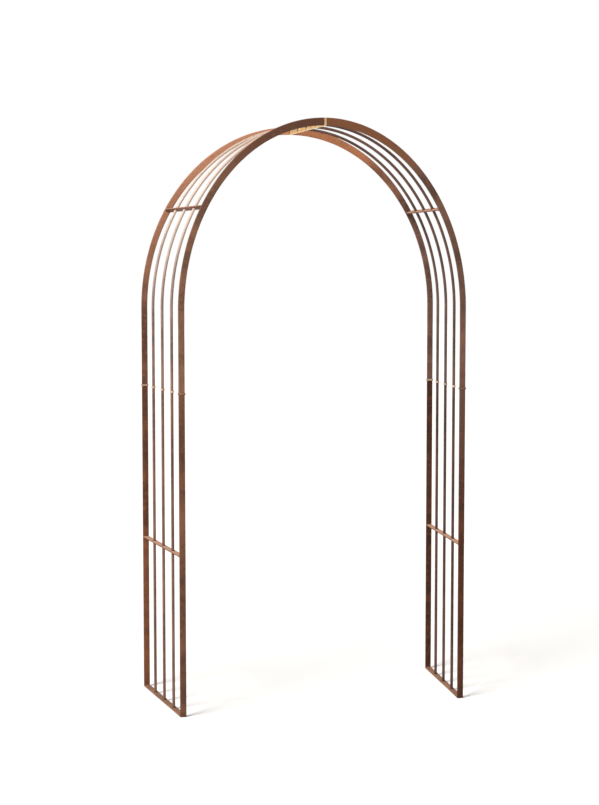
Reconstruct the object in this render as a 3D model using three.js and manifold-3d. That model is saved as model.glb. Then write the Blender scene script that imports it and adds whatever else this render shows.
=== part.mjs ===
// Metal trellis arch: two straight leg panels carry two quarter-arch panels, bolted together at the crown.
// Millimetres, +Z up. X runs from the left leg to the right, Y from the front to the back.
// The origin is on the ground, under the middle of the arch.
import * as THREE from 'three';
import { mergeVertices } from 'three/addons/utils/BufferGeometryUtils.js';
import Module from 'manifold-3d';

const wasm = await Module();
wasm.setup();

// The whole arch
const OVERALL_HEIGHT = 2290;
const HALF_WIDTH = 600; // outer face of a side, at the middle of the depth
const SPLAY = 24; // each side stands this much further out at the back, and further in at the front
const DEPTH = 530;
const SPRING_HEIGHT = 1555; // the sides run straight up to here
const JOINT_HEIGHT = 1242; // the leg panels end here
const GAP = 0.3; // between pieces that touch

// Bars and rods
const BAR_WIDTH = 25; // across a flat bar, at the legs
const CROWN_BAR_WIDTH = 31; // the hoop bars are a little deeper at the crown
const BAR_THICKNESS = 8;
const ROD_RADIUS = 6;
const ROD_SIDES = 12;
const BAR_STEPS = 40; // chords round a quarter hoop
const ROD_STEPS = 30;

// Crossbars and bottom rails
const CROSSBAR_THICKNESS = 6;
const CROSSBAR_HEIGHT = 621;
const ARCH_CROSSBAR_ANGLE = THREE.MathUtils.degToRad(33); // round the ellipse, from the spring line
const ROD_HOLE_RADIUS = 6.6;
const PEG_HOLE_RADIUS = 4.5;
const PEG_HOLE_INSET = 38; // from the end of the depth

// Joints half-way up: a collar outside and a spigot inside
const COLLAR_HEIGHT = 8;
const COLLAR_WALL = 1.5;
const SPIGOT_LENGTH = 60;
const PIN_RADIUS = 3;
const TONGUE_WIDTH = 16;
const TONGUE_THICKNESS = 4;

// Crown plates and their M8 fasteners
const PLATE_THICKNESS = 4;
const BOLT_RADIUS = 4;
const BOLT_HOLE_RADIUS = 4.4;
const BOLT_SPACING = 130; // front bolt to back bolt
const WASHER_RADIUS = 8;
const WASHER_THICKNESS = 1.6;
const HEX_RADIUS = 7.5; // corner to centre
const HEAD_THICKNESS = 5.3;
const NUT_THICKNESS = 6.5;
const THREAD_BEYOND_NUT = 4;

const RISE = OVERALL_HEIGHT - SPRING_HEIGHT;
const HALF_DEPTH = DEPTH / 2;
const BAR_Y = HALF_DEPTH - BAR_THICKNESS / 2;
const ROD_SPACING = BAR_Y / 2;
const PLATE_OUTER_X = GAP / 2 + PLATE_THICKNESS;
const HOOP_END_X = PLATE_OUTER_X + GAP;
const SIDES = { left: -1, right: 1 };
const BAR_PLACES = { front: -BAR_Y, back: BAR_Y };
const ROD_PLACES = { front: -ROD_SPACING, middle: 0, back: ROD_SPACING };
const BOLT_PLACES = { front: -BOLT_SPACING / 2, back: BOLT_SPACING / 2 };

function steel(color, roughness, metalness) {
  return new THREE.MeshStandardMaterial({ color, roughness, metalness });
}

const MATERIALS = {
  bar: () => steel(0x7a4a31, 0.85, 0.35),
  rod: () => steel(0x8a5f4b, 0.8, 0.35),
  crossbar: () => steel(0xa8714f, 0.8, 0.35),
  collar: () => steel(0xc79a72, 0.7, 0.4),
  spigot: () => steel(0x8c8078, 0.6, 0.7),
  plate: () => steel(0xd9ab62, 0.5, 0.6),
  fastener: () => steel(0xcf9f4c, 0.4, 0.8),
};

const halfWidthAt = (y) => HALF_WIDTH + (SPLAY * y) / HALF_DEPTH;
const middleXAt = (y) => halfWidthAt(y) - BAR_WIDTH / 2;

const arch = new THREE.Group();

function addMesh(name, geometry, kind, position = [0, 0, 0]) {
  const mesh = new THREE.Mesh(geometry, MATERIALS[kind]());
  mesh.name = name;
  mesh.position.set(...position);
  arch.add(mesh);
}

// --- Solids ---

function toSolid(geometry) {
  const bare = geometry.clone();
  bare.deleteAttribute('normal');
  bare.deleteAttribute('uv');
  const merged = mergeVertices(bare, 1e-3);
  const vertProperties = new Float32Array(merged.attributes.position.array);
  const triVerts = new Uint32Array(merged.index.array);
  return new wasm.Manifold(new wasm.Mesh({ numProp: 3, vertProperties, triVerts }));
}

function toGeometry(solid) {
  const mesh = solid.getMesh();
  const geometry = new THREE.BufferGeometry();
  geometry.setAttribute('position', new THREE.BufferAttribute(mesh.vertProperties, 3));
  geometry.setIndex(new THREE.BufferAttribute(mesh.triVerts, 1));
  geometry.computeVertexNormals();
  return geometry;
}

function cut(geometry, cutters) {
  let solid = toSolid(geometry);
  for (const cutter of cutters) {
    solid = solid.subtract(toSolid(cutter));
  }
  return toGeometry(solid);
}

function cylinder(radius, length, axis, sides = ROD_SIDES) {
  const geometry = new THREE.CylinderGeometry(radius, radius, length, sides);
  if (axis === 'x') {
    geometry.rotateZ(-Math.PI / 2);
  }
  if (axis === 'z') {
    geometry.rotateX(Math.PI / 2);
  }
  return geometry;
}

const placed = (geometry, x, y, z) => geometry.translate(x, y, z);

// --- Lines that the bars and rods follow ---

// A point on the quarter ellipse, from 0 at the spring line to a right angle at the crown.
function ellipsePoint(halfWidth, rise, angle) {
  return new THREE.Vector2(halfWidth * Math.cos(angle), SPRING_HEIGHT + rise * Math.sin(angle));
}

// One edge of a hoop bar, from the joint up to the crown plate.
function hoopEdge(halfWidth, rise) {
  const lastAngle = Math.acos(HOOP_END_X / halfWidth);
  const points = [new THREE.Vector2(halfWidth, JOINT_HEIGHT + GAP / 2)];
  for (let i = 0; i <= BAR_STEPS; i += 1) {
    points.push(ellipsePoint(halfWidth, rise, (lastAngle * i) / BAR_STEPS));
  }
  return points;
}

// The centre line of a bent rod. Its first step is the straight stretch, and the rest share the ellipse.
class RodLine extends THREE.Curve {
  constructor(side, y) {
    super();
    this.side = side;
    this.y = y;
    this.halfWidth = middleXAt(y);
    this.rise = RISE - CROWN_BAR_WIDTH / 2;
    this.lastAngle = Math.acos(HOOP_END_X / this.halfWidth);
  }

  getPointAt(u) {
    const station = u * ROD_STEPS;
    if (station < 1) {
      const z = THREE.MathUtils.lerp(JOINT_HEIGHT + GAP / 2, SPRING_HEIGHT, station);
      return new THREE.Vector3(this.side * this.halfWidth, this.y, z);
    }
    return this.pointAtAngle((this.lastAngle * (station - 1)) / (ROD_STEPS - 1));
  }

  pointAtAngle(angle) {
    const { x, y: z } = ellipsePoint(this.halfWidth, this.rise, angle);
    return new THREE.Vector3(this.side * x, this.y, z);
  }

  getTangentAt(u) {
    const angle = (this.lastAngle * Math.max(u * ROD_STEPS - 1, 0)) / (ROD_STEPS - 1);
    return this.tangentAtAngle(angle);
  }

  tangentAtAngle(angle) {
    const x = -this.side * this.halfWidth * Math.sin(angle);
    return new THREE.Vector3(x, 0, this.rise * Math.cos(angle)).normalize();
  }
}

// --- Leg and arch bars ---

function tongueSlot(z) {
  const slack = 2 * GAP;
  const slot = new THREE.BoxGeometry(TONGUE_WIDTH + slack, TONGUE_THICKNESS + slack, SPIGOT_LENGTH + slack);
  return placed(slot, 0, 0, z);
}

const pinBore = (z) => placed(cylinder(PIN_RADIUS + GAP, SPIGOT_LENGTH + 2 * GAP, 'z'), 0, 0, z);

function upright() {
  const length = JOINT_HEIGHT - GAP / 2;
  const bar = new THREE.BoxGeometry(BAR_WIDTH, BAR_THICKNESS, length);
  return cut(bar, [tongueSlot(length / 2)]);
}

function legRod(length) {
  return cut(cylinder(ROD_RADIUS, length, 'z'), [pinBore(length / 2)]);
}

function hoopBar(side, y) {
  const outer = hoopEdge(halfWidthAt(y), RISE);
  const inner = hoopEdge(halfWidthAt(y) - BAR_WIDTH, RISE - CROWN_BAR_WIDTH).reverse();
  const corners = [...outer, ...inner].map((point) => new THREE.Vector2(side * point.x, point.y));
  const outline = new THREE.Shape(corners);
  const bar = new THREE.ExtrudeGeometry(outline, { depth: BAR_THICKNESS, bevelEnabled: false });
  bar.rotateX(Math.PI / 2);
  bar.translate(0, y + BAR_THICKNESS / 2, 0);
  const slot = tongueSlot(JOINT_HEIGHT).translate(side * middleXAt(y), y, 0);
  return cut(bar, [slot]);
}

function sweptRod(side, y, radius) {
  const section = new THREE.Shape();
  section.absarc(0, 0, radius, 0, 2 * Math.PI);
  return new THREE.ExtrudeGeometry(section, {
    extrudePath: new RodLine(side, y),
    steps: ROD_STEPS,
    curveSegments: ROD_SIDES / 2,
    bevelEnabled: false,
  });
}

function hoopRod(side, y) {
  const bore = pinBore(JOINT_HEIGHT).translate(side * middleXAt(y), y, 0);
  return cut(sweptRod(side, y, ROD_RADIUS), [bore]);
}

// --- Crossbars and rails: flat bar that runs between the outer bars, punched for the rods ---

// across points out of the arch and along follows the splay; the bar's thin way is square to both.
function crossbarBlank(centre, along, across) {
  const thin = new THREE.Vector3().crossVectors(across, along).normalize();
  const square = new THREE.Vector3().crossVectors(along, thin).normalize();
  const blank = new THREE.BoxGeometry(BAR_WIDTH, DEPTH, CROSSBAR_THICKNESS);
  blank.applyMatrix4(new THREE.Matrix4().makeBasis(square, along, thin));
  blank.translate(centre.x, centre.y, centre.z);
  const clearDepth = DEPTH - 2 * (BAR_THICKNESS + GAP);
  const betweenBars = new THREE.BoxGeometry(BAR_WIDTH * 4, clearDepth, BAR_WIDTH * 4);
  betweenBars.translate(centre.x, centre.y, centre.z);
  return toGeometry(toSolid(blank).intersect(toSolid(betweenBars)));
}

function splayDirection(side, fraction) {
  return new THREE.Vector3((side * SPLAY * fraction) / HALF_DEPTH, 1, 0).normalize();
}

const sideX = (side, y) => side * middleXAt(y);

function levelBar(side, z, holes) {
  const centre = new THREE.Vector3(sideX(side, 0), 0, z);
  const blank = crossbarBlank(centre, splayDirection(side, 1), new THREE.Vector3(1, 0, 0));
  const cutters = holes.map(({ y, radius }) => {
    const punch = cylinder(radius, BAR_WIDTH, 'z');
    return placed(punch, sideX(side, y), y, z);
  });
  return cut(blank, cutters);
}

function legCrossbar(side) {
  const holes = Object.values(ROD_PLACES).map((y) => ({ y, radius: ROD_HOLE_RADIUS }));
  return levelBar(side, CROSSBAR_HEIGHT, holes);
}

function bottomRail(side) {
  const pegY = HALF_DEPTH - PEG_HOLE_INSET;
  const holes = [-pegY, pegY].map((y) => ({ y, radius: PEG_HOLE_RADIUS }));
  return levelBar(side, CROSSBAR_THICKNESS / 2, holes);
}

function archCrossbar(side) {
  const middle = new RodLine(side, 0);
  const centre = middle.pointAtAngle(ARCH_CROSSBAR_ANGLE);
  const tangent = middle.tangentAtAngle(ARCH_CROSSBAR_ANGLE);
  const outward = new THREE.Vector3(tangent.z, 0, -tangent.x);
  const along = splayDirection(side, Math.cos(ARCH_CROSSBAR_ANGLE));
  const blank = crossbarBlank(centre, along, outward);
  const rods = Object.values(ROD_PLACES).map((y) => sweptRod(side, y, ROD_HOLE_RADIUS));
  return cut(blank, rods);
}

// --- Joints ---

function extrudedUp(outline, hole, height) {
  outline.holes.push(hole);
  const options = { depth: height, bevelEnabled: false, curveSegments: ROD_SIDES / 2 };
  return new THREE.ExtrudeGeometry(outline, options).translate(0, 0, -height / 2);
}

function rectangle(width, thickness) {
  const [x, y] = [width / 2, thickness / 2];
  return [[-x, -y], [x, -y], [x, y], [-x, y]].map(([px, py]) => new THREE.Vector2(px, py));
}

function barCollar() {
  const inside = [BAR_WIDTH + 2 * GAP, BAR_THICKNESS + 2 * GAP];
  const outline = new THREE.Shape(rectangle(inside[0] + 2 * COLLAR_WALL, inside[1] + 2 * COLLAR_WALL));
  return extrudedUp(outline, new THREE.Path(rectangle(...inside)), COLLAR_HEIGHT);
}

function ring(outerRadius, innerRadius, height) {
  const outline = new THREE.Shape();
  outline.absarc(0, 0, outerRadius, 0, 2 * Math.PI);
  const hole = new THREE.Path();
  hole.absarc(0, 0, innerRadius, 0, 2 * Math.PI);
  return extrudedUp(outline, hole, height);
}

const rodCollar = () => ring(ROD_HOLE_RADIUS + COLLAR_WALL, ROD_HOLE_RADIUS, COLLAR_HEIGHT);

// --- Crown ---

function crownPlate() {
  const plate = new THREE.BoxGeometry(PLATE_THICKNESS, DEPTH, CROWN_BAR_WIDTH);
  const holes = Object.values(BOLT_PLACES).map((y) => {
    return placed(cylinder(BOLT_HOLE_RADIUS, 4 * PLATE_THICKNESS, 'x'), 0, y, 0);
  });
  return cut(plate, holes);
}

function washer() {
  return ring(WASHER_RADIUS, BOLT_HOLE_RADIUS, WASHER_THICKNESS).rotateY(Math.PI / 2);
}

function nut() {
  const bore = cylinder(BOLT_HOLE_RADIUS, 2 * NUT_THICKNESS, 'x');
  return cut(cylinder(HEX_RADIUS, NUT_THICKNESS, 'x', 6), [bore]);
}

const WASHER_X = PLATE_OUTER_X + GAP + WASHER_THICKNESS / 2;
const SEAT_X = PLATE_OUTER_X + 2 * GAP + WASHER_THICKNESS; // where the bolt head and the nut sit

function bolt() {
  const shankEnd = SEAT_X + NUT_THICKNESS + THREAD_BEYOND_NUT;
  const headOverlap = HEAD_THICKNESS / 2;
  const shankLength = shankEnd + SEAT_X + headOverlap;
  const shank = placed(cylinder(BOLT_RADIUS, shankLength, 'x'), shankEnd - shankLength / 2, 0, 0);
  const head = placed(cylinder(HEX_RADIUS, HEAD_THICKNESS, 'x', 6), -SEAT_X - HEAD_THICKNESS / 2, 0, 0);
  return toGeometry(toSolid(head).add(toSolid(shank)));
}

// --- Assembly ---

function addSide(name, side) {
  const rodFoot = CROSSBAR_THICKNESS + GAP;
  const rodLength = JOINT_HEIGHT - GAP / 2 - rodFoot;
  for (const [place, y] of Object.entries(BAR_PLACES)) {
    const uprightMiddle = (JOINT_HEIGHT - GAP / 2) / 2;
    addMesh(`${name}_leg_${place}_upright`, upright(), 'bar', [sideX(side, y), y, uprightMiddle]);
    addMesh(`${name}_arch_${place}_hoop_bar`, hoopBar(side, y), 'bar');
    addMesh(`${name}_${place}_bar_collar`, barCollar(), 'collar', [sideX(side, y), y, JOINT_HEIGHT]);
    const tongue = new THREE.BoxGeometry(TONGUE_WIDTH, TONGUE_THICKNESS, SPIGOT_LENGTH);
    addMesh(`${name}_${place}_bar_spigot`, tongue, 'spigot', [sideX(side, y), y, JOINT_HEIGHT]);
  }
  for (const [place, y] of Object.entries(ROD_PLACES)) {
    const rodMiddle = rodFoot + rodLength / 2;
    addMesh(`${name}_leg_${place}_rod`, legRod(rodLength), 'rod', [sideX(side, y), y, rodMiddle]);
    addMesh(`${name}_arch_${place}_rod`, hoopRod(side, y), 'rod');
    addMesh(`${name}_${place}_rod_collar`, rodCollar(), 'collar', [sideX(side, y), y, JOINT_HEIGHT]);
    const pin = cylinder(PIN_RADIUS, SPIGOT_LENGTH, 'z');
    addMesh(`${name}_${place}_rod_spigot`, pin, 'spigot', [sideX(side, y), y, JOINT_HEIGHT]);
  }
  addMesh(`${name}_leg_crossbar`, legCrossbar(side), 'crossbar');
  addMesh(`${name}_bottom_rail`, bottomRail(side), 'crossbar');
  addMesh(`${name}_arch_crossbar`, archCrossbar(side), 'crossbar');
  const plateX = side * (PLATE_OUTER_X - PLATE_THICKNESS / 2);
  const plateZ = OVERALL_HEIGHT - CROWN_BAR_WIDTH / 2;
  addMesh(`${name}_crown_plate`, crownPlate(), 'plate', [plateX, 0, plateZ]);
}

function addCrownFasteners(place, y) {
  const z = OVERALL_HEIGHT - CROWN_BAR_WIDTH / 2;
  addMesh(`crown_${place}_bolt`, bolt(), 'fastener', [0, y, z]);
  addMesh(`crown_${place}_nut`, nut(), 'fastener', [SEAT_X + NUT_THICKNESS / 2, y, z]);
  for (const [name, side] of Object.entries(SIDES)) {
    addMesh(`crown_${place}_${name}_washer`, washer(), 'fastener', [side * WASHER_X, y, z]);
  }
}

for (const [name, side] of Object.entries(SIDES)) {
  addSide(name, side);
}
for (const [place, y] of Object.entries(BOLT_PLACES)) {
  addCrownFasteners(place, y);
}

export default arch;
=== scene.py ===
# %% [markdown]
# # A rusted steel trellis arch
# The arch is two straight leg panels and two bent panels, with slip joints half-way up the sides and two
# golden plates bolted together at the crown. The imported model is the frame: it says where every piece is,
# and this notebook remodels each piece with rolled edges, weld beads and rust. Nothing in the frame is moved
# or resized.

# %% Load the frame
import math

import bmesh
import bpy
from mathutils import Matrix, Vector


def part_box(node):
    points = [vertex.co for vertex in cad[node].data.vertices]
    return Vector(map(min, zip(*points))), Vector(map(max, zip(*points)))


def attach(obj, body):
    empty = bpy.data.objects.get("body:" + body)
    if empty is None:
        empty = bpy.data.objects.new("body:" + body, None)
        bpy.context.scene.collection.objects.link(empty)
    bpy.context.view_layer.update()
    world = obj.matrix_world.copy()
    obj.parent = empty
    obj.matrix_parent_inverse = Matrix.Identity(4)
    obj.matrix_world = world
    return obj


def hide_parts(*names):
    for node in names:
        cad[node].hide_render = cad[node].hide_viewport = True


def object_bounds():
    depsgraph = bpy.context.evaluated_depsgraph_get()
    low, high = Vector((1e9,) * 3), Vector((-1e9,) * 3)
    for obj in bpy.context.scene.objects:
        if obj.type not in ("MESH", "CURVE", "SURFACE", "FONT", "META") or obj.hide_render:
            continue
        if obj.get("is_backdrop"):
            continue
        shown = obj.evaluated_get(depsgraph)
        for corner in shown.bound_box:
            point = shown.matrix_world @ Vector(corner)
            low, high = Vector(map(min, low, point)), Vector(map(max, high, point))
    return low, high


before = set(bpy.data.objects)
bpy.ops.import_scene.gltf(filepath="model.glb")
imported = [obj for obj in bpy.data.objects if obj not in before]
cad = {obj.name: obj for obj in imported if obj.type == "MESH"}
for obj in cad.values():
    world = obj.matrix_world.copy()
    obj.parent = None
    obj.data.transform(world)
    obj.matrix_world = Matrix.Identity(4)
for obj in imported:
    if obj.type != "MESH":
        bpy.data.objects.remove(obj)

cad_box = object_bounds()
print("the frame holds", len(cad), "pieces, from", tuple(cad_box[0]), "to", tuple(cad_box[1]))

# %% [markdown]
# ## Sizes
# Every place comes from the frame's own boxes. The outer bars stand on edge: each is wide across the arch
# and thin from front to back. A side runs straight up to the spring line, and from there it is a quarter of
# an ellipse.

# %% Read the sizes
SIDES = ("left", "right")
BAR_PLACES = ("front", "back")
ROD_PLACES = ("front", "middle", "back")
SKIN = 0.0002  # how far the weathered skin stays inside the frame's solids
EDGE_BREAK = 0.0006  # the small bevel on cut ends


def box_centre(node):
    low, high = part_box(node)
    return (low + high) / 2


def box_size(node):
    low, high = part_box(node)
    return high - low


def spring_height(node):
    outer = [v.co for v in cad[node].data.vertices]
    farthest = max(abs(co.x) for co in outer)
    return max(co.z for co in outer if abs(co.x) > farthest - 1e-6)


BAR_WIDTH, BAR_THICKNESS, _ = box_size("right_leg_front_upright")
ROD_RADIUS = box_size("right_leg_front_rod").x / 2
SPRING_Z = spring_height("right_arch_front_hoop_bar")
JOINT_Z = box_centre("right_front_bar_collar").z
TOP_Z = cad_box[1].z
CROWN_BAR_DEPTH = box_size("right_crown_plate").z
HOOP_END_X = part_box("right_arch_front_hoop_bar")[0].x

# %% [markdown]
# ## Camera
# The arch is seen from the front and a little to the left, from head height, through a long lens, so the
# bars stay almost parallel. The lens is given for the picture's width.

# %% Camera
CAMERA_PLACE = (-1.863, -6.765, 1.744)
CAMERA_TURN = math.radians(15.15)  # towards the right leg
CAMERA_TILT = math.radians(4.61)  # below level
CAMERA_LENS_MM = 105.5

bpy.ops.object.camera_add(location=CAMERA_PLACE, rotation=(math.pi / 2 - CAMERA_TILT, 0, -CAMERA_TURN))
camera = bpy.context.object
camera.name = "camera"
camera.data.sensor_fit = "HORIZONTAL"
camera.data.sensor_width = 36
camera.data.lens = CAMERA_LENS_MM
bpy.context.scene.camera = camera
print("camera at", CAMERA_PLACE, "with a", CAMERA_LENS_MM, "mm lens")

# %% [markdown]
# ## Studio
# Rust is dark and rough, so it takes its shape from the difference between the lit and the unlit sides of
# each bar. A wide sun high on the left gives soft shadows that are the same everywhere, and a dim sky fills
# in the rest. The camera itself sees the sky as white paper, because the Light Path node tells camera rays
# from the others.

# %% Floor
bpy.context.scene.view_settings.view_transform = "Standard"

bpy.ops.mesh.primitive_plane_add(size=80, location=(0, 0, -0.0005))
floor = bpy.context.object
floor.name = "floor"
floor_paint = bpy.data.materials.new("pale_floor")
floor_paint.use_nodes = True
floor_paint.node_tree.nodes["Principled BSDF"].inputs["Base Color"].default_value = (0.86, 0.86, 0.86, 1)
floor_paint.node_tree.nodes["Principled BSDF"].inputs["Roughness"].default_value = 0.9
floor.data.materials.append(floor_paint)
floor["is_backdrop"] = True
print("floor", floor.dimensions.x, "m wide")

# %% Sky and sun
SKY_LIGHT = 0.36
SUN_STRENGTH = 5.0
SUN_WIDTH = math.radians(28)
SUN_TURN = (math.radians(52), 0, math.radians(-60))  # down from the left, a little in front of the arch

world = bpy.data.worlds.new("studio")
world.use_nodes = True
sky = world.node_tree
sky_light = sky.nodes["Background"]
sky_light.inputs["Strength"].default_value = SKY_LIGHT
sky_light.inputs["Color"].default_value = (1, 1, 1, 1)
paper = sky.nodes.new("ShaderNodeBackground")
paper.inputs["Color"].default_value = (1, 1, 1, 1)
seen = sky.nodes.new("ShaderNodeLightPath")
choose = sky.nodes.new("ShaderNodeMixShader")
sky.links.new(seen.outputs["Is Camera Ray"], choose.inputs[0])
sky.links.new(sky_light.outputs["Background"], choose.inputs[1])
sky.links.new(paper.outputs["Background"], choose.inputs[2])
sky.links.new(choose.outputs["Shader"], sky.nodes["World Output"].inputs["Surface"])
bpy.context.scene.world = world

bpy.ops.object.light_add(type="SUN", location=(-3, -3, 4), rotation=SUN_TURN)
sun = bpy.context.object
sun.name = "key_light"
sun.data.energy = SUN_STRENGTH
sun.data.angle = SUN_WIDTH
sun.data.color = (1.0, 0.97, 0.93)
print("sky", SKY_LIGHT, "sun", SUN_STRENGTH)

# %% [markdown]
# ## Helpers
# Blender's operators act on what is selected, so each step first selects one piece, or the faces and edges
# that it needs, by their place or direction.

# %% Select and finish


def only(piece):
    bpy.ops.object.select_all(action="DESELECT")
    piece.select_set(True)
    bpy.context.view_layer.objects.active = piece


def edit(piece):
    only(piece)
    bpy.ops.object.mode_set(mode="EDIT")
    bpy.ops.mesh.select_all(action="DESELECT")


def pick(kind, test):
    """Selects the verts, edges or faces of the piece in edit mode that pass a test, and nothing else."""
    bpy.ops.mesh.select_mode(type={"verts": "VERT", "edges": "EDGE", "faces": "FACE"}[kind])
    bpy.ops.mesh.select_all(action="DESELECT")
    data = bpy.context.object.data
    mesh = bmesh.from_edit_mesh(data)
    found = [part for part in getattr(mesh, kind) if test(part)]
    for part in found:
        part.select_set(True)
    mesh.select_flush_mode()
    bmesh.update_edit_mesh(data)
    return len(found)


def done():
    bpy.ops.mesh.select_all(action="SELECT")
    bpy.ops.mesh.normals_make_consistent(inside=False)
    bpy.ops.object.mode_set(mode="OBJECT")


def settle(piece):
    """Puts the piece's place, turn and size into its mesh."""
    only(piece)
    bpy.ops.object.transform_apply(location=True, rotation=True, scale=True)


def apply_modifier(piece, modifier):
    only(piece)
    bpy.ops.object.modifier_apply(modifier=modifier.name)


def runs_along(axis):
    """A test for edges that run along an axis."""
    return lambda edge: abs((edge.verts[1].co - edge.verts[0].co).normalized()[axis]) > 0.99


def copy_of(piece, name):
    """Another piece with a mesh of its own."""
    only(piece)
    bpy.ops.object.duplicate()
    other = bpy.context.object
    other.name = name
    return other


print("helpers to select, edit, settle and copy a piece")

# %% [markdown]
# ## The weathered skin
# Rust lifts in scales, so no face of an old bar is quite flat. A Displace modifier with a cloud pattern
# sinks each skin by a few tenths of a millimetre. It only pushes inwards, so a piece never outgrows its
# solid.

# %% Weather a skin
SCALE_PATTERN = bpy.data.textures.new("rust_scales", "CLOUDS")
SCALE_PATTERN.noise_scale = 0.022
SCALE_PATTERN.noise_depth = 3


def weather(piece, depth):
    rust = piece.modifiers.new("rust_scales", "DISPLACE")
    rust.texture = SCALE_PATTERN
    rust.texture_coords = "LOCAL"
    rust.mid_level = 1.0
    rust.strength = depth
    apply_modifier(piece, rust)


def carve(piece, cutter, operation="DIFFERENCE"):
    """Cuts or joins a piece with another, and uses that other up."""
    boolean = piece.modifiers.new("carve", "BOOLEAN")
    boolean.object = cutter
    boolean.operation = operation
    boolean.solver = "EXACT"
    apply_modifier(piece, boolean)
    bpy.data.objects.remove(cutter)


finished = {}


def finish_piece(piece, material, node=None, smooth=35):
    only(piece)
    bpy.ops.object.shade_smooth_by_angle(angle=math.radians(smooth))
    piece.data.materials.clear()
    piece.data.materials.append(material)
    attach(piece, "root")
    if node:
        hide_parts(node)
    finished[piece.name] = len(piece.data.polygons)


print("rust scales are", SCALE_PATTERN.noise_scale, "m across")

# %% [markdown]
# ## Rust
# Old rust isn't one colour. Large soft patches drift from chocolate to orange, small flecks are darker, and
# fine pale grains speckle it. Faces that look up are mixed towards the same pale colour, a painted highlight
# of the light from above. A painted colour with one noise would look flat, so the finish is built from four
# noises of different sizes, and it can turn to another colour towards the top of a bar. All patterns read
# Object coordinates, in metres, so their scale is the same on every piece.

# %% Node helpers


def new_material(name):
    material = bpy.data.materials.new(name)
    material.use_nodes = True
    return material, material.node_tree, material.node_tree.nodes["Principled BSDF"]


def add(tree, kind, settings=None, **inputs):
    """Adds a node, sets its settings, and sets or links its inputs.

    An input is a value or another node's output. It is named by its socket's name, or by i and its number."""
    made = tree.nodes.new(kind)
    for key, value in (settings or {}).items():
        setattr(made, key, value)
    for key, value in inputs.items():
        socket = made.inputs[int(key[1:])] if key[0] == "i" and key[1:].isdigit() else made.inputs[key]
        if isinstance(value, bpy.types.NodeSocket):
            tree.links.new(value, socket)
        else:
            socket.default_value = value
    return made


def noise(tree, place, scale, detail=4.0, roughness=0.55):
    made = add(tree, "ShaderNodeTexNoise", Vector=place, Scale=scale, Detail=detail, Roughness=roughness)
    return made.outputs["Fac"]


def remap(tree, value, low, high, to_low=0.0, to_high=1.0):
    made = add(tree, "ShaderNodeMapRange", i0=value, i1=low, i2=high, i3=to_low, i4=to_high)
    return made.outputs[0]


def solid(colour):
    """A fixed colour with its alpha, and a link as it is."""
    return colour if isinstance(colour, bpy.types.NodeSocket) else (*colour, 1)


def blend(tree, factor, first, second):
    made = add(tree, "ShaderNodeMix", {"data_type": "RGBA"}, i0=factor, i6=solid(first), i7=solid(second))
    return made.outputs[2]


def bump(tree, height, distance, below=None):
    made = add(tree, "ShaderNodeBump", Height=height, Distance=distance, Strength=1.0)
    if below is not None:
        tree.links.new(below, made.inputs["Normal"])
    return made.outputs["Normal"]


# %% Rust material


def shade(colour, factor):
    return tuple(factor * part for part in colour)


def rust(name, brown, bloom, powder_and_top_light, top=None, top_from=1.45, top_to=2.05, painted_top_light=0.35, shine=0.0):
    """Brown steel with blooms, dark flecks and pale grains, which turns to another colour towards the top.

    The top colour comes in between the heights top_from and top_to, in metres. painted_top_light is the share
    of the pale colour painted on the faces that look up, a painted highlight of light from above. shine is 0
    for raw rust and 1 for drawn steel."""
    material, tree, shader = new_material(name)
    place = add(tree, "ShaderNodeTexCoord").outputs["Object"]
    patches = noise(tree, place, 5.5, 6.0, 0.62)
    blooms = noise(tree, place, 38.0, 5.0, 0.65)
    flecks = noise(tree, place, 170.0, 3.0, 0.6)
    grains = noise(tree, place, 750.0, 2.0)

    colour = blend(tree, remap(tree, patches, 0.40, 0.62), shade(brown, 0.62), shade(brown, 1.36))
    colour = blend(tree, remap(tree, blooms, 0.50, 0.68, 0.0, 0.7), colour, bloom)
    # Where the top colour is paler than the bar, it is partly painted light from above and partly the rust's
    # own colour.
    if top:
        height = add(tree, "ShaderNodeSeparateXYZ", Vector=place).outputs["Z"]
        uneven = add(tree, "ShaderNodeMath", {"operation": "MULTIPLY_ADD"}, i0=patches, i1=0.5, i2=height)
        rise = remap(tree, uneven.outputs[0], top_from + 0.25, top_to + 0.25, 0.0, 0.85)
        colour = blend(tree, rise, colour, top)
    # Painted highlight: faces that look up are mixed towards the pale colour, as if lit from above.
    top_light_facing = add(tree, "ShaderNodeSeparateXYZ", Vector=add(tree, "ShaderNodeNewGeometry").outputs["Normal"])
    colour = blend(tree, remap(tree, top_light_facing.outputs["Z"], 0.15, 0.75, 0.0, painted_top_light), colour, powder_and_top_light)
    colour = blend(tree, remap(tree, flecks, 0.57, 0.70, 0.0, 0.6), colour, shade(brown, 0.4))
    colour = blend(tree, remap(tree, grains, 0.56, 0.76, 0.0, 0.22), colour, powder_and_top_light)
    tree.links.new(colour, shader.inputs["Base Color"])

    smoothest = 0.50 - 0.22 * shine
    tree.links.new(remap(tree, blooms, 0.3, 0.75, smoothest, smoothest + 0.34), shader.inputs["Roughness"])
    shader.inputs["Specular IOR Level"].default_value = 0.16 + 0.5 * shine
    scales = bump(tree, blooms, 0.0011)
    pits = bump(tree, flecks, 0.0005, scales)
    tree.links.new(bump(tree, grains, 0.00018, pits), shader.inputs["Normal"])
    print("material", name)
    return material
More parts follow.
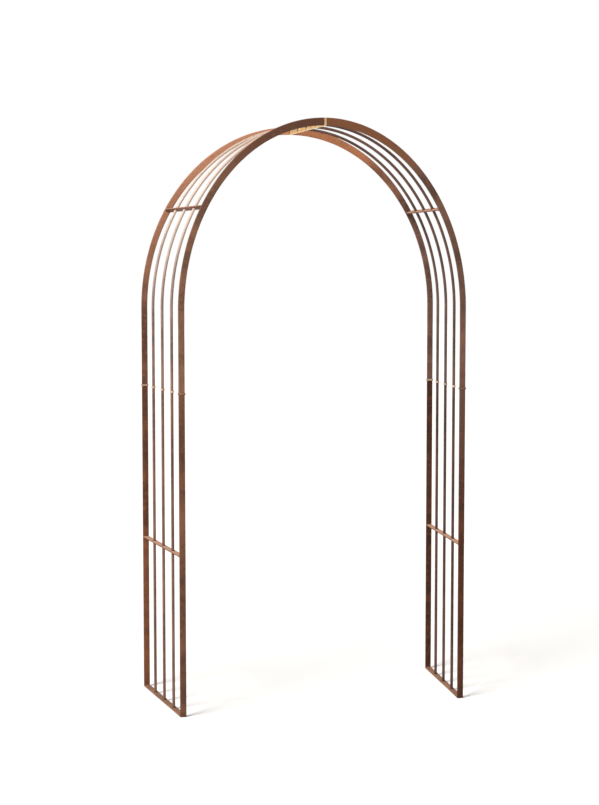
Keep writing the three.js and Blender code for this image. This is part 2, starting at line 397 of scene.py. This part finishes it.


# %% [markdown]
# Each bar has its own colours. The left leg is a warm brown and the right leg is nearly chocolate, a darker
# copy that is painted shade for the side away from the light. The hoops are a pinker tan. Towards the crown
# the back hoops turn orange, the right front hoop redder and the left front hoop dark; the paler orange tops
# are partly painted light from above. Each bar gets its own material, so that each can be tuned by itself.

# %% Rust for the flat bars
BAR_RUST = {
    "left_leg_front": rust(
        "left_front_leg_rust", (0.118, 0.050, 0.027), (0.16, 0.066, 0.032), (0.30, 0.19, 0.13)),
    "left_leg_back": rust(
        "left_back_leg_rust", (0.112, 0.040, 0.018), (0.19, 0.062, 0.022), (0.28, 0.15, 0.09)),
    # The right leg's colours are a much darker copy of the left leg's: painted shade for the side away from
    # the light.
    "right_leg_front": rust(
        "right_front_leg_rust_painted_shade", (0.050, 0.015, 0.006), (0.10, 0.030, 0.010), (0.20, 0.10, 0.06),
        (0.112, 0.058, 0.040), 0.70, 1.25),
    "right_leg_back": rust(
        "right_back_leg_rust_painted_shade", (0.044, 0.014, 0.006), (0.11, 0.034, 0.012), (0.16, 0.08, 0.05)),
    "left_arch_front": rust(
        "left_front_hoop_rust", (0.165, 0.078, 0.046), (0.20, 0.092, 0.050), (0.40, 0.27, 0.20),
        (0.070, 0.024, 0.012), 1.98, 2.24),
    "left_arch_back": rust(
        "left_back_hoop_rust", (0.130, 0.053, 0.029), (0.18, 0.075, 0.040), (0.36, 0.22, 0.15),
        (0.46, 0.215, 0.125), 1.45, 2.20),
    "right_arch_front": rust(
        "right_front_hoop_rust", (0.112, 0.056, 0.038), (0.15, 0.068, 0.040), (0.30, 0.20, 0.15),
        (0.150, 0.054, 0.020), 2.05, 2.26),
    "right_arch_back": rust(
        "right_back_hoop_rust", (0.125, 0.062, 0.044), (0.17, 0.080, 0.050), (0.36, 0.25, 0.19),
        (0.40, 0.150, 0.065), 1.98, 2.26),
}

# %% Rust for the rods, crossbars, collars and welds
# The right rods are much darker copies of the left rods: painted shade for the side away from the light.
ROD_RUST = {
    "left_leg": rust(
        "left_leg_rod_rust", (0.125, 0.056, 0.036), (0.17, 0.075, 0.046), (0.34, 0.23, 0.17), shine=0.5),
    # The left arch rods' pale cream top colour is a painted reflection of the sky along them, over brown
    # rust.
    "left_arch": rust(
        "left_arch_rod_rust_painted_reflection", (0.150, 0.074, 0.052), (0.21, 0.105, 0.072), (0.46, 0.34, 0.27),
        (0.52, 0.39, 0.31), 1.45, 1.95, shine=1),
    "right_leg": rust(
        "right_leg_rod_rust_painted_shade", (0.050, 0.020, 0.012), (0.085, 0.034, 0.020), (0.20, 0.12, 0.09), shine=0.25),
    "right_arch": rust(
        "right_arch_rod_rust_painted_shade", (0.078, 0.036, 0.024), (0.11, 0.050, 0.032), (0.28, 0.18, 0.14), shine=0.35),
}
# The crossbars carry the most painted light: their upper faces are painted pale, so their undersides read as
# shaded.
CROSSBAR_RUST_AND_TOP_LIGHT = rust(
    "crossbar_rust_painted_top_light", (0.125, 0.052, 0.030), (0.20, 0.086, 0.048), (0.52, 0.30, 0.20), painted_top_light=0.75)
RAIL_RUST = rust(
    "bottom_rail_rust", (0.150, 0.066, 0.038), (0.22, 0.098, 0.052), (0.42, 0.26, 0.18), painted_top_light=0.25)
# The pale collar colour is a painted highlight of the light catching the collars.
PALE_COLLAR_HIGHLIGHT = rust(
    "pale_collar_painted_highlight", (0.40, 0.27, 0.18), (0.52, 0.35, 0.23), (0.72, 0.55, 0.42), shine=0.5)
BROWN_COLLAR = rust(
    "brown_collar_rust", (0.16, 0.075, 0.042), (0.26, 0.13, 0.075), (0.46, 0.31, 0.22), shine=0.3)
WELD_RUST = rust("weld_rust", (0.070, 0.028, 0.016), (0.15, 0.060, 0.030), (0.22, 0.11, 0.07))


# %% [markdown]
# The crown hardware looks like yellow zinc plating. The spigots are hidden in the joints, and are taken to
# be bare steel. Both are metals, so their colour sits in the reflection, with smears in the roughness and
# rust creeping in from the joints.

# %% Metal materials


def plated(name, bright, dull, stain, stain_share=0.5):
    material, tree, shader = new_material(name)
    place = add(tree, "ShaderNodeTexCoord").outputs["Object"]
    smears = noise(tree, place, 38.0, 4.0)
    spots = noise(tree, place, 160.0, 4.0, 0.65)
    colour = blend(tree, remap(tree, smears, 0.35, 0.7), bright, dull)
    colour = blend(tree, remap(tree, spots, 0.58, 0.72, 0.0, stain_share), colour, stain)
    tree.links.new(colour, shader.inputs["Base Color"])
    tree.links.new(remap(tree, smears, 0.3, 0.7, 0.28, 0.55), shader.inputs["Roughness"])
    shader.inputs["Metallic"].default_value = 0.7
    tree.links.new(bump(tree, spots, 0.0003), shader.inputs["Normal"])
    print("material", name)
    return material


GOLD_PLATE = plated("golden_plate", (0.94, 0.72, 0.38), (0.66, 0.42, 0.16), (0.14, 0.055, 0.02), 0.75)
GOLD_FASTENER = plated("golden_fastener", (0.90, 0.62, 0.25), (0.72, 0.45, 0.17), (0.28, 0.12, 0.05))
BARE_STEEL = plated("bare_steel", (0.40, 0.37, 0.34), (0.28, 0.25, 0.23), (0.20, 0.09, 0.05), 0.3)

# %% [markdown]
# ## Leg uprights
# Flat bar is rolled hot, so its long edges are round. One box is shaped into a bar with bevelled edges and
# cut across into short lengths, so that the weathering has something to move. Then it is copied to the four
# corners.

# %% Leg uprights
BAR_EDGE = 0.0025  # radius of the rolled edges
STEP = 0.011  # length of one face along a bar
BAR_WEAR = 0.0005  # depth of the rust scales on the outer bars
SPIGOT_ROOM = 0.0006  # how much wider and longer a socket is than its spigot


def boxed(name, centre, size):
    bpy.ops.mesh.primitive_cube_add(size=1, location=centre)
    piece = bpy.context.object
    piece.name = name
    piece.scale = size
    settle(piece)
    return piece


def cut_across(axis, length):
    """Cuts the long faces of the piece in edit mode into short lengths."""
    pick("edges", lambda edge: runs_along(axis)(edge) and edge.calc_length() > length / 2)
    bpy.ops.mesh.subdivide(number_cuts=max(1, round(length / STEP)))


def flat_bar(name, centre, size, axis, edge=BAR_EDGE):
    bar = boxed(name, centre, size)
    edit(bar)
    pick("edges", runs_along(axis))
    bpy.ops.mesh.bevel(offset=edge, segments=4, affect="EDGES")
    pick("edges", lambda e: not runs_along(axis)(e) and len(e.link_faces) == 2 and e.calc_face_angle(0) > 1)
    bpy.ops.mesh.bevel(offset=EDGE_BREAK, segments=2, affect="EDGES")
    cut_across(axis, size[axis])
    done()
    return bar


def socket_cutter(node, centre):
    """A hole for the spigot inside a joint, a little larger than the spigot."""
    size = box_size(node) + Vector((1, 1, 1)) * SPIGOT_ROOM
    if "rod" in node:
        bpy.ops.mesh.primitive_cylinder_add(vertices=16, radius=size.x / 2, depth=size.z, location=centre)
        return bpy.context.object
    return boxed("socket", centre, size)


def open_socket(piece, node):
    carve(piece, socket_cutter(node, box_centre(node)))


first_node = "right_leg_front_upright"
upright_size = box_size(first_node) - Vector((2, 2, 2)) * SKIN
first_upright = flat_bar("upright_pattern", box_centre(first_node), upright_size, 2)
for side in SIDES:
    for place in BAR_PLACES:
        node = f"{side}_leg_{place}_upright"
        upright = copy_of(first_upright, node + "_steel")
        upright.location = box_centre(node) - box_centre(first_node)
        settle(upright)
        weather(upright, BAR_WEAR)
        open_socket(upright, f"{side}_{place}_bar_spigot")
        finish_piece(upright, BAR_RUST[f"{side}_leg_{place}"], node)
bpy.data.objects.remove(first_upright)
print("uprights:", finished)

# %% [markdown]
# ## Hoop bars
# A hoop bar is the same flat bar bent on edge. Its section is drawn on the spring line, spun a quarter
# turn, and stretched upwards into an ellipse, the outer and the inner edge each by its own amount. Bisect
# trims it at the crown, and the foot is extruded down to the joint.

# %% Hoop bars
SPIN_STEPS = 96


def bar_section(name, centre, width, thickness):
    bpy.ops.mesh.primitive_plane_add(size=1, location=centre)
    piece = bpy.context.object
    piece.name = name
    piece.scale = (width, thickness, 1)
    settle(piece)
    edit(piece)
    bpy.ops.mesh.select_all(action="SELECT")
    bpy.ops.mesh.bevel(offset=BAR_EDGE, segments=4, affect="VERTICES")
    pick("edges", lambda edge: edge.calc_length() > width / 2)
    bpy.ops.mesh.subdivide(number_cuts=3)
    return piece


def stretch_up(test, factor, centre):
    pick("verts", test)
    bpy.ops.transform.resize(value=(1, 1, factor), center_override=centre)


def hoop_bar(name, node):
    low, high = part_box(node)
    half_width = high.x - SKIN
    y = (low.y + high.y) / 2
    width = BAR_WIDTH - 2 * SKIN
    middle = half_width - width / 2
    pivot = (0, y, SPRING_Z)
    piece = bar_section(name, (middle, y, SPRING_Z), width, BAR_THICKNESS - 2 * SKIN)
    bpy.ops.mesh.select_all(action="SELECT")
    bpy.ops.mesh.spin(steps=SPIN_STEPS, angle=math.pi / 2, center=pivot, axis=(0, 1, 0))

    def reach(vert):
        return math.hypot(vert.co.x, vert.co.z - SPRING_Z)

    outer_rise = TOP_Z - SKIN - SPRING_Z
    inner_rise = TOP_Z - CROWN_BAR_DEPTH + SKIN - SPRING_Z
    outer = {v.index for v in bmesh.from_edit_mesh(piece.data).verts if reach(v) > middle + width * 0.2}
    inner = {v.index for v in bmesh.from_edit_mesh(piece.data).verts if reach(v) < middle - width * 0.2}
    outer_factor = outer_rise / half_width
    inner_factor = inner_rise / (half_width - width)
    stretch_up(lambda v: v.index in outer, outer_factor, pivot)
    stretch_up(lambda v: v.index in inner, inner_factor, pivot)
    half = (outer_factor + inner_factor) / 2
    stretch_up(lambda v: v.index not in outer and v.index not in inner, half, pivot)

    bpy.ops.mesh.select_all(action="SELECT")
    crown_end = (HOOP_END_X + SKIN, 0, 0)
    bpy.ops.mesh.bisect(plane_co=crown_end, plane_no=(1, 0, 0), use_fill=True, clear_inner=True)

    def at_spring_line(face):
        return abs(face.normal.z) > 0.99 and abs(face.calc_center_median().z - SPRING_Z) < 1e-5

    pick("faces", at_spring_line)
    drop = JOINT_Z - SPRING_Z + SKIN
    bpy.ops.mesh.extrude_region_move(TRANSFORM_OT_translate={"value": (0, 0, drop)})
    cut_across(2, -drop)
    done()
    return piece


def mirrored(piece, name):
    """The same piece on the other side. Mirroring turns the faces inside out, so they are turned back."""
    other = copy_of(piece, name)
    other.scale.x = -1
    settle(other)
    edit(other)
    done()
    return other


for place in BAR_PLACES:
    right_node = f"right_arch_{place}_hoop_bar"
    left_node = f"left_arch_{place}_hoop_bar"
    right_hoop = hoop_bar(right_node + "_steel", right_node)
    left_hoop = mirrored(right_hoop, left_node + "_steel")
    for hoop, node, side in ((right_hoop, right_node, "right"), (left_hoop, left_node, "left")):
        weather(hoop, BAR_WEAR)
        open_socket(hoop, f"{side}_{place}_bar_spigot")
        finish_piece(hoop, BAR_RUST[f"{side}_arch_{place}"], node)
        print(hoop.name, "faces", finished[hoop.name])

# %% [markdown]
# ## Rods
# The leg rods are straight round bar. The arch rods follow the hoops: a straight rod is bent round a guide
# by a Curve modifier, which keeps it round all the way, and the guide is thrown away.

# %% Rods
ROD_SIDES = 16
ROD_WEAR = 0.0003  # depth of the rust scales on the rods
QUARTER_HANDLE = 0.5523  # handle length that makes a quarter of a circle from one curve piece


def straight_rod(name, centre, length, axis):
    turn = (0, math.pi / 2, 0) if axis == 0 else (0, 0, 0)
    radius = ROD_RADIUS - SKIN / 2
    bpy.ops.mesh.primitive_cylinder_add(
        vertices=ROD_SIDES, radius=radius, depth=length, location=centre, rotation=turn)
    rod = bpy.context.object
    rod.name = name
    settle(rod)
    edit(rod)
    pick("edges", lambda e: not runs_along(axis)(e))
    bpy.ops.mesh.bevel(offset=EDGE_BREAK, segments=2, affect="EDGES")
    cut_across(axis, length)
    done()
    return rod


def arch_guide(half_width, y, rise):
    bpy.ops.curve.primitive_bezier_curve_add(location=(0, 0, 0))
    guide = bpy.context.object
    guide.data.dimensions = "3D"
    guide.data.resolution_u = 96
    guide.data.splines[0].bezier_points.add(1)
    up = SPRING_Z + QUARTER_HANDLE * rise
    top = SPRING_Z + rise
    foot, spring, crown = guide.data.splines[0].bezier_points
    places = (
        (foot, (half_width, JOINT_Z - 0.1), (half_width, JOINT_Z), (half_width, JOINT_Z + 0.1)),
        (spring, (half_width, SPRING_Z - 0.1), (half_width, SPRING_Z), (half_width, up)),
        (crown, (QUARTER_HANDLE * half_width, top), (0, top), (-0.1, top)),
    )
    for point, before, here, after in places:
        point.handle_left_type = point.handle_right_type = "FREE"
        point.handle_left = (before[0], y, before[1])
        point.co = (here[0], y, here[1])
        point.handle_right = (after[0], y, after[1])
    return guide


def arch_rod(name, node):
    low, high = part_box(node)
    y = (low.y + high.y) / 2
    half_width = high.x - ROD_RADIUS
    rise = high.z - ROD_RADIUS - SPRING_Z
    guide = arch_guide(half_width, y, rise)
    length = guide.data.splines[0].calc_length()
    rod = straight_rod(name, (length / 2, 0, 0), length, 0)
    bend = rod.modifiers.new("bend", "CURVE")
    bend.object = guide
    bend.deform_axis = "POS_X"
    apply_modifier(rod, bend)
    bpy.data.objects.remove(guide)
    edit(rod)
    bpy.ops.mesh.select_all(action="SELECT")
    crown_end = (HOOP_END_X + SKIN, 0, 0)
    bpy.ops.mesh.bisect(plane_co=crown_end, plane_no=(1, 0, 0), use_fill=True, clear_inner=True)
    done()
    return rod


for place in ROD_PLACES:
    right_node = f"right_arch_{place}_rod"
    left_node = f"left_arch_{place}_rod"
    right_rod = arch_rod(right_node + "_steel", right_node)
    left_rod = mirrored(right_rod, left_node + "_steel")
    for rod, node, side in ((right_rod, right_node, "right"), (left_rod, left_node, "left")):
        weather(rod, ROD_WEAR)
        open_socket(rod, f"{side}_{place}_rod_spigot")
        finish_piece(rod, ROD_RUST[f"{side}_arch"], node)

first_node = "right_leg_front_rod"
first_rod = straight_rod("rod_pattern", box_centre(first_node), box_size(first_node).z - SKIN, 2)
for side in SIDES:
    for place in ROD_PLACES:
        node = f"{side}_leg_{place}_rod"
        rod = copy_of(first_rod, node + "_steel")
        rod.location = box_centre(node) - box_centre(first_node)
        settle(rod)
        weather(rod, ROD_WEAR)
        open_socket(rod, f"{side}_{place}_rod_spigot")
        finish_piece(rod, ROD_RUST[f"{side}_leg"], node)
bpy.data.objects.remove(first_rod)
print("rods:", [name for name in finished if "rod" in name])

# %% [markdown]
# ## Crossbars and bottom rails
# These are flat bar too, lying across the rods. Each is made square to the world, turned into place, and
# punched by Boolean modifiers where the rods go through and where ground pegs would.

# %% Crossbars
ROD_HOLE = 0.0067  # radius, a loose fit on the rods
PEG_HOLE = 0.0045
CROSSBAR_EDGE = 0.0012  # radius of a crossbar's long edges
CROSSBAR_WEAR = 0.0004
WELD_GAP = 0.001  # how much shorter a crossbar is than the space between the uprights
PEG_HOLE_INSET = 0.038  # from the faces of the uprights


def rod_x(side, y):
    """Where the middle of a side is at some depth: the sides stand further apart at the back."""
    front = box_centre(f"{side}_leg_front_upright")
    back = box_centre(f"{side}_leg_back_upright")
    return front.x + (back.x - front.x) * (y - front.y) / (back.y - front.y)


def crossbar(name, centre, along, outward, hole_places, hole_radius, hole_axis):
    span = 2 * (abs(box_centre("left_leg_front_upright").y) - BAR_THICKNESS / 2) - WELD_GAP
    thickness = box_size("left_bottom_rail").z - 2 * SKIN
    bar = flat_bar(name, (0, 0, 0), Vector((BAR_WIDTH - 2 * SKIN, span, thickness)), 1, CROSSBAR_EDGE)
    along = along.normalized()
    thin = outward.cross(along).normalized()
    square = along.cross(thin)
    bar.matrix_world = Matrix.Translation(centre) @ Matrix((square, along, thin)).transposed().to_4x4()
    settle(bar)
    weather(bar, CROSSBAR_WEAR)
    for place in hole_places:
        turn = hole_axis.to_track_quat("Z", "Y").to_euler()
        bpy.ops.mesh.primitive_cylinder_add(
            vertices=20, radius=hole_radius, depth=BAR_WIDTH, location=place, rotation=turn)
        carve(bar, bpy.context.object)
    return bar


def arch_line(side, node, angle):
    """Centre and direction of an arch rod's middle line, at an angle round its ellipse."""
    low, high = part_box(node)
    half_width = max(abs(low.x), abs(high.x)) - ROD_RADIUS
    rise = high.z - ROD_RADIUS - SPRING_Z
    sign = 1 if side == "right" else -1
    x = sign * half_width * math.cos(angle)
    centre = Vector((x, (low.y + high.y) / 2, SPRING_Z + rise * math.sin(angle)))
    tangent = Vector((-sign * half_width * math.sin(angle), 0, rise * math.cos(angle))).normalized()
    return centre, tangent


def crossbar_angle(side):
    """How far round the ellipse the frame has its crossbar."""
    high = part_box(f"{side}_arch_middle_rod")[1]
    rise = high.z - ROD_RADIUS - SPRING_Z
    return math.asin((box_centre(f"{side}_arch_crossbar").z - SPRING_Z) / rise)


rod_ys = [box_centre(f"left_leg_{place}_rod").y for place in ROD_PLACES]
peg_y = box_centre("left_leg_back_upright").y + BAR_THICKNESS / 2 - PEG_HOLE_INSET
UP = Vector((0, 0, 1))
for side in SIDES:
    outward = Vector((1, 0, 0))
    splay = Vector((rod_x(side, 1) - rod_x(side, 0), 1, 0))

    centre = box_centre(f"{side}_leg_crossbar")
    holes = [Vector((rod_x(side, y), y, centre.z)) for y in rod_ys]
    bar = crossbar(f"{side}_leg_crossbar_steel", centre, splay, outward, holes, ROD_HOLE, UP)
    finish_piece(bar, CROSSBAR_RUST_AND_TOP_LIGHT, f"{side}_leg_crossbar")

    centre = box_centre(f"{side}_bottom_rail")
    holes = [Vector((rod_x(side, y), y, centre.z)) for y in (-peg_y, peg_y)]
    rail = crossbar(f"{side}_bottom_rail_steel", centre, splay, outward, holes, PEG_HOLE, UP)
    finish_piece(rail, RAIL_RUST, f"{side}_bottom_rail")

    angle = crossbar_angle(side)
    centre, tangent = arch_line(side, f"{side}_arch_middle_rod", angle)
    ends = [arch_line(side, f"{side}_arch_{place}_rod", angle) for place in ROD_PLACES]
    square_out = Vector((tangent.z, 0, -tangent.x))
    along = ends[2][0] - ends[0][0]
    holes = [place for place, direction in ends]
    bar = crossbar(f"{side}_arch_crossbar_steel", centre, along, square_out, holes, ROD_HOLE, tangent)
    finish_piece(bar, CROSSBAR_RUST_AND_TOP_LIGHT, f"{side}_arch_crossbar")
print("crossbars at", [round(box_centre(f"left_{k}_crossbar").z, 3) for k in ("leg", "arch")])

# %% [markdown]
# ## Joint collars
# Each slip joint has a short sleeve. A block is hollowed by insetting its ends, removing them and bridging
# the two rims, which leaves a true sleeve with no boolean seam. The sleeves at the back and on the rods are
# pale, a painted highlight of the light catching them, and those on the front bars are brown.

# %% Joint collars
COLLAR_EDGE = 0.0004
COLLAR_WEAR = 0.0003
COLLAR_ROOM = 0.0006  # how much wider a collar's inside is than its bar


def hollow(piece, axis, wall):
    """Turns a solid block or disc into a sleeve, open along an axis."""
    edit(piece)
    pick("faces", lambda face: abs(face.normal[axis]) > 0.99)
    bpy.ops.mesh.inset(thickness=wall, depth=0)
    bpy.ops.mesh.delete(type="FACE")
    pick("edges", lambda edge: edge.is_boundary)
    bpy.ops.mesh.bridge_edge_loops()


def collar(name, node, fill):
    size = box_size(node) - Vector((2, 2, 2)) * SKIN
    if "rod" in node:
        bpy.ops.mesh.primitive_cylinder_add(
            vertices=24, radius=size.x / 2, depth=size.z, location=box_centre(node))
        piece = bpy.context.object
        piece.name = name
        settle(piece)
        wall = size.x / 2 - fill
    else:
        piece = boxed(name, box_centre(node), size)
        wall = (size.y - fill) / 2
    hollow(piece, 2, wall)
    pick("edges", lambda edge: len(edge.link_faces) == 2 and edge.calc_face_angle(0) > 1)
    bpy.ops.mesh.bevel(offset=COLLAR_EDGE, segments=2, affect="EDGES")
    done()
    weather(piece, COLLAR_WEAR)
    return piece


for side in SIDES:
    for place in BAR_PLACES:
        node = f"{side}_{place}_bar_collar"
        skin = BROWN_COLLAR if place == "front" else PALE_COLLAR_HIGHLIGHT
        finish_piece(collar(node + "_steel", node, BAR_THICKNESS + COLLAR_ROOM), skin, node)
    for place in ROD_PLACES:
        node = f"{side}_{place}_rod_collar"
        finish_piece(collar(node + "_steel", node, ROD_HOLE - SKIN), PALE_COLLAR_HIGHLIGHT, node)
print("collars stand at", round(JOINT_Z, 3))

# %% [markdown]
# ## Crown plates and fasteners
# Two golden plates close the ends of the hoops and bolt face to face. The bolt heads are six-sided discs
# with their corners chamfered, joined to a shank whose thread is cut by pinching in every second ring.

# %% Crown plates


def bore_along_x(centre, radius, length):
    bpy.ops.mesh.primitive_cylinder_add(
        vertices=24, radius=radius, depth=length, location=centre, rotation=(0, math.pi / 2, 0))
    return bpy.context.object


BOLT_RADIUS = 0.004
BOLT_HOLE = 0.0044
PLATE_EDGE = 0.0008
PLATE_WEAR = 0.0003
CUTTER_LENGTH = 0.02
bolt_places = {place: box_centre(f"crown_{place}_nut") for place in BAR_PLACES}
for side in SIDES:
    node = f"{side}_crown_plate"
    size = box_size(node) - Vector((1, 2, 2)) * SKIN
    plate = flat_bar(node + "_steel", box_centre(node), size, 1, PLATE_EDGE)
    weather(plate, PLATE_WEAR)
    for centre in bolt_places.values():
        carve(plate, bore_along_x((box_centre(node).x, centre.y, centre.z), BOLT_HOLE, CUTTER_LENGTH))
    finish_piece(plate, GOLD_PLATE, node)


# %% Crown fasteners
THREAD_PITCH = 0.00125
THREAD_FROM = 0.004  # the shank is plain up to here
GROOVE_SHARE = 0.87  # radius of the grooves, as a share of the shank's
CORNER_CHAMFER = 0.0011
WASHER_EDGE = 0.0003


def hexagon(name, centre, thickness, radius):
    bpy.ops.mesh.primitive_cylinder_add(
        vertices=6, radius=radius, depth=thickness, location=centre, rotation=(0, math.pi / 2, 0))
    piece = bpy.context.object
    piece.name = name
    settle(piece)
    edit(piece)
    pick("verts", lambda vert: True)
    bpy.ops.mesh.bevel(offset=CORNER_CHAMFER, segments=2, affect="VERTICES")
    done()
    return piece


def threaded_shank(centre, length):
    bpy.ops.mesh.primitive_cylinder_add(
        vertices=20, radius=BOLT_RADIUS - SKIN, depth=length, location=centre, rotation=(0, math.pi / 2, 0))
    shank = bpy.context.object
    settle(shank)
    edit(shank)
    pick("edges", lambda e: runs_along(0)(e))
    ring_count = 2 * round(length / THREAD_PITCH)
    bpy.ops.mesh.subdivide(number_cuts=ring_count - 1)
    start = centre[0] - length / 2
    ring = length / ring_count

    def in_groove(vert):
        number = round((vert.co.x - start) / ring)
        return number % 2 == 1 and vert.co.x > THREAD_FROM

    pick("verts", in_groove)
    bpy.ops.transform.resize(value=(1, GROOVE_SHARE, GROOVE_SHARE), center_override=centre)
    done()
    return shank


for place, nut_centre in bolt_places.items():
    node = f"crown_{place}_bolt"
    low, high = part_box(node)
    head_inner = -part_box(f"crown_{place}_nut")[0].x
    head_thickness = head_inner - low.x
    radius = box_size(node).z / 2 - SKIN
    centre = ((low.x + head_inner) / 2, nut_centre.y, nut_centre.z)
    bolt = hexagon(node + "_steel", centre, head_thickness - SKIN, radius)
    shank_length = high.x - centre[0] - SKIN
    shank_centre = (centre[0] + shank_length / 2, nut_centre.y, nut_centre.z)
    carve(bolt, threaded_shank(shank_centre, shank_length), "UNION")
    finish_piece(bolt, GOLD_FASTENER, node)

    node = f"crown_{place}_nut"
    nut = hexagon(node + "_steel", nut_centre, box_size(node).x - 2 * SKIN, radius)
    carve(nut, bore_along_x(nut_centre, BOLT_HOLE, CUTTER_LENGTH))
    finish_piece(nut, GOLD_FASTENER, node)

    for side in SIDES:
        node = f"crown_{place}_{side}_washer"
        size = box_size(node)
        washer = bore_along_x(box_centre(node), size.y / 2 - SKIN, size.x - SKIN)
        washer.name = node + "_steel"
        settle(washer)
        hollow(washer, 0, size.y / 2 - SKIN - BOLT_HOLE)
        pick("edges", lambda edge: len(edge.link_faces) == 2 and edge.calc_face_angle(0) > 1)
        bpy.ops.mesh.bevel(offset=WASHER_EDGE, segments=2, affect="EDGES")
        done()
        finish_piece(washer, GOLD_FASTENER, node)
print("crown hardware:", [name for name in finished if name.startswith("crown")])

# %% [markdown]
# ## Welds
# Rods, crossbars and rails are taken to be welded where they meet. A bead is a rounded, lumpy string of
# metal: a stretched ball along a bar's end, or a ring round a rod, roughened by the same kind of cloud
# pattern at a smaller scale.

# %% Weld beads
BEAD_PATTERN = bpy.data.textures.new("weld_ripples", "CLOUDS")
BEAD_PATTERN.noise_scale = 0.0035
RIPPLE_HEIGHT = 0.0012
BEAD_RADIUS = 0.0024
RING_RADIUS = 0.0015  # thickness of the bead round a rod
RING_SINK = 0.0009  # how far that bead is sunk into the rod
BEAD_SHARE = 0.85  # how much of an edge a bead covers


def bead(centre, direction, length):
    bpy.ops.mesh.primitive_uv_sphere_add(segments=24, ring_count=12, radius=1, location=centre)
    ball = bpy.context.object
    ball.scale = (BEAD_RADIUS, BEAD_RADIUS, length / 2)
    ball.rotation_euler = direction.to_track_quat("Z", "Y").to_euler()
    settle(ball)
    return ball


def ring_bead(centre, direction):
    turn = direction.to_track_quat("Z", "Y").to_euler()
    bpy.ops.mesh.primitive_torus_add(
        major_segments=28, minor_segments=8, major_radius=ROD_RADIUS + RING_RADIUS - RING_SINK,
        minor_radius=RING_RADIUS, location=centre, rotation=turn)
    ring = bpy.context.object
    settle(ring)
    return ring


def weld_piece(name, beads):
    bpy.ops.object.select_all(action="DESELECT")
    for part in beads:
        part.select_set(True)
    bpy.context.view_layer.objects.active = beads[0]
    bpy.ops.object.join()
    piece = bpy.context.object
    piece.name = name
    ripples = piece.modifiers.new("ripples", "DISPLACE")
    ripples.texture = BEAD_PATTERN
    ripples.texture_coords = "LOCAL"
    ripples.strength = RIPPLE_HEIGHT
    apply_modifier(piece, ripples)
    finish_piece(piece, WELD_RUST, smooth=60)
    print(name, "has", len(beads), "beads")


rail_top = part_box("left_bottom_rail")[1].z
inner_y = abs(box_centre("left_leg_front_upright").y) - BAR_THICKNESS / 2
half_bar = box_size("left_bottom_rail").z / 2
for side in SIDES:
    beads = []
    across = Vector((1, 0, 0))
    for end in (-inner_y, inner_y):
        x = rod_x(side, end)
        beads.append(bead((x, end, rail_top), across, BAR_WIDTH * BEAD_SHARE))
        for level in (-half_bar, half_bar):
            place = (x, end, box_centre(f"{side}_leg_crossbar").z + level)
            beads.append(bead(place, across, BAR_WIDTH * BEAD_SHARE))
    for y in rod_ys:
        x = rod_x(side, y)
        beads.append(ring_bead((x, y, rail_top), UP))
        beads.append(ring_bead((x, y, box_centre(f"{side}_leg_crossbar").z + half_bar), UP))
    weld_piece(f"{side}_leg_welds", beads)

    beads = []
    angle = crossbar_angle(side)
    line = [arch_line(side, f"{side}_arch_{place}_rod", angle) for place in ROD_PLACES]
    along = line[2][0] - line[0][0]
    tangent = line[1][1]
    out = Vector((tangent.z, 0, -tangent.x))
    for end in (-inner_y, inner_y):
        middle = line[1][0] + along * (end / along.y)
        for level in (-half_bar, half_bar):
            beads.append(bead(middle + tangent * level, out, BAR_WIDTH * BEAD_SHARE))
    for centre, direction in line:
        beads.append(ring_bead(centre + direction * half_bar, direction))
    sign = 1 if side == "right" else -1
    for place in ROD_PLACES:
        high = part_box(f"{side}_arch_{place}_rod")[1]
        centre = Vector((sign * HOOP_END_X, box_centre(f"{side}_arch_{place}_rod").y, high.z - ROD_RADIUS))
        beads.append(ring_bead(centre, Vector((1, 0, 0))))
    for place in BAR_PLACES:
        y = box_centre(f"{side}_arch_{place}_hoop_bar").y
        inner_face = y - math.copysign(BAR_THICKNESS / 2, y)
        centre = Vector((sign * HOOP_END_X, inner_face, TOP_Z - CROWN_BAR_DEPTH / 2))
        beads.append(bead(centre, UP, CROWN_BAR_DEPTH * BEAD_SHARE))
    weld_piece(f"{side}_arch_welds", beads)

# %% [markdown]
# ## Spigots
# The spigots sit inside the joints. Their shape in the frame is right, so they keep it and only get their
# steel.

# %% Spigots
for name, piece in cad.items():
    if name.endswith("_spigot"):
        piece.data.materials.clear()
        piece.data.materials.append(BARE_STEEL)
print("spigots:", sum(name.endswith("_spigot") for name in cad))

# %% [markdown]
# ## Sizes out
# The visual model is built to stay inside the frame's box, and both boxes are printed.

# %% Sizes out
visual_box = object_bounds()
boxes = {"cad": [list(corner) for corner in cad_box], "visual": [list(corner) for corner in visual_box]}
print("pieces", len(finished), "faces", sum(finished.values()))
for label, corners in boxes.items():
    print(label, corners)
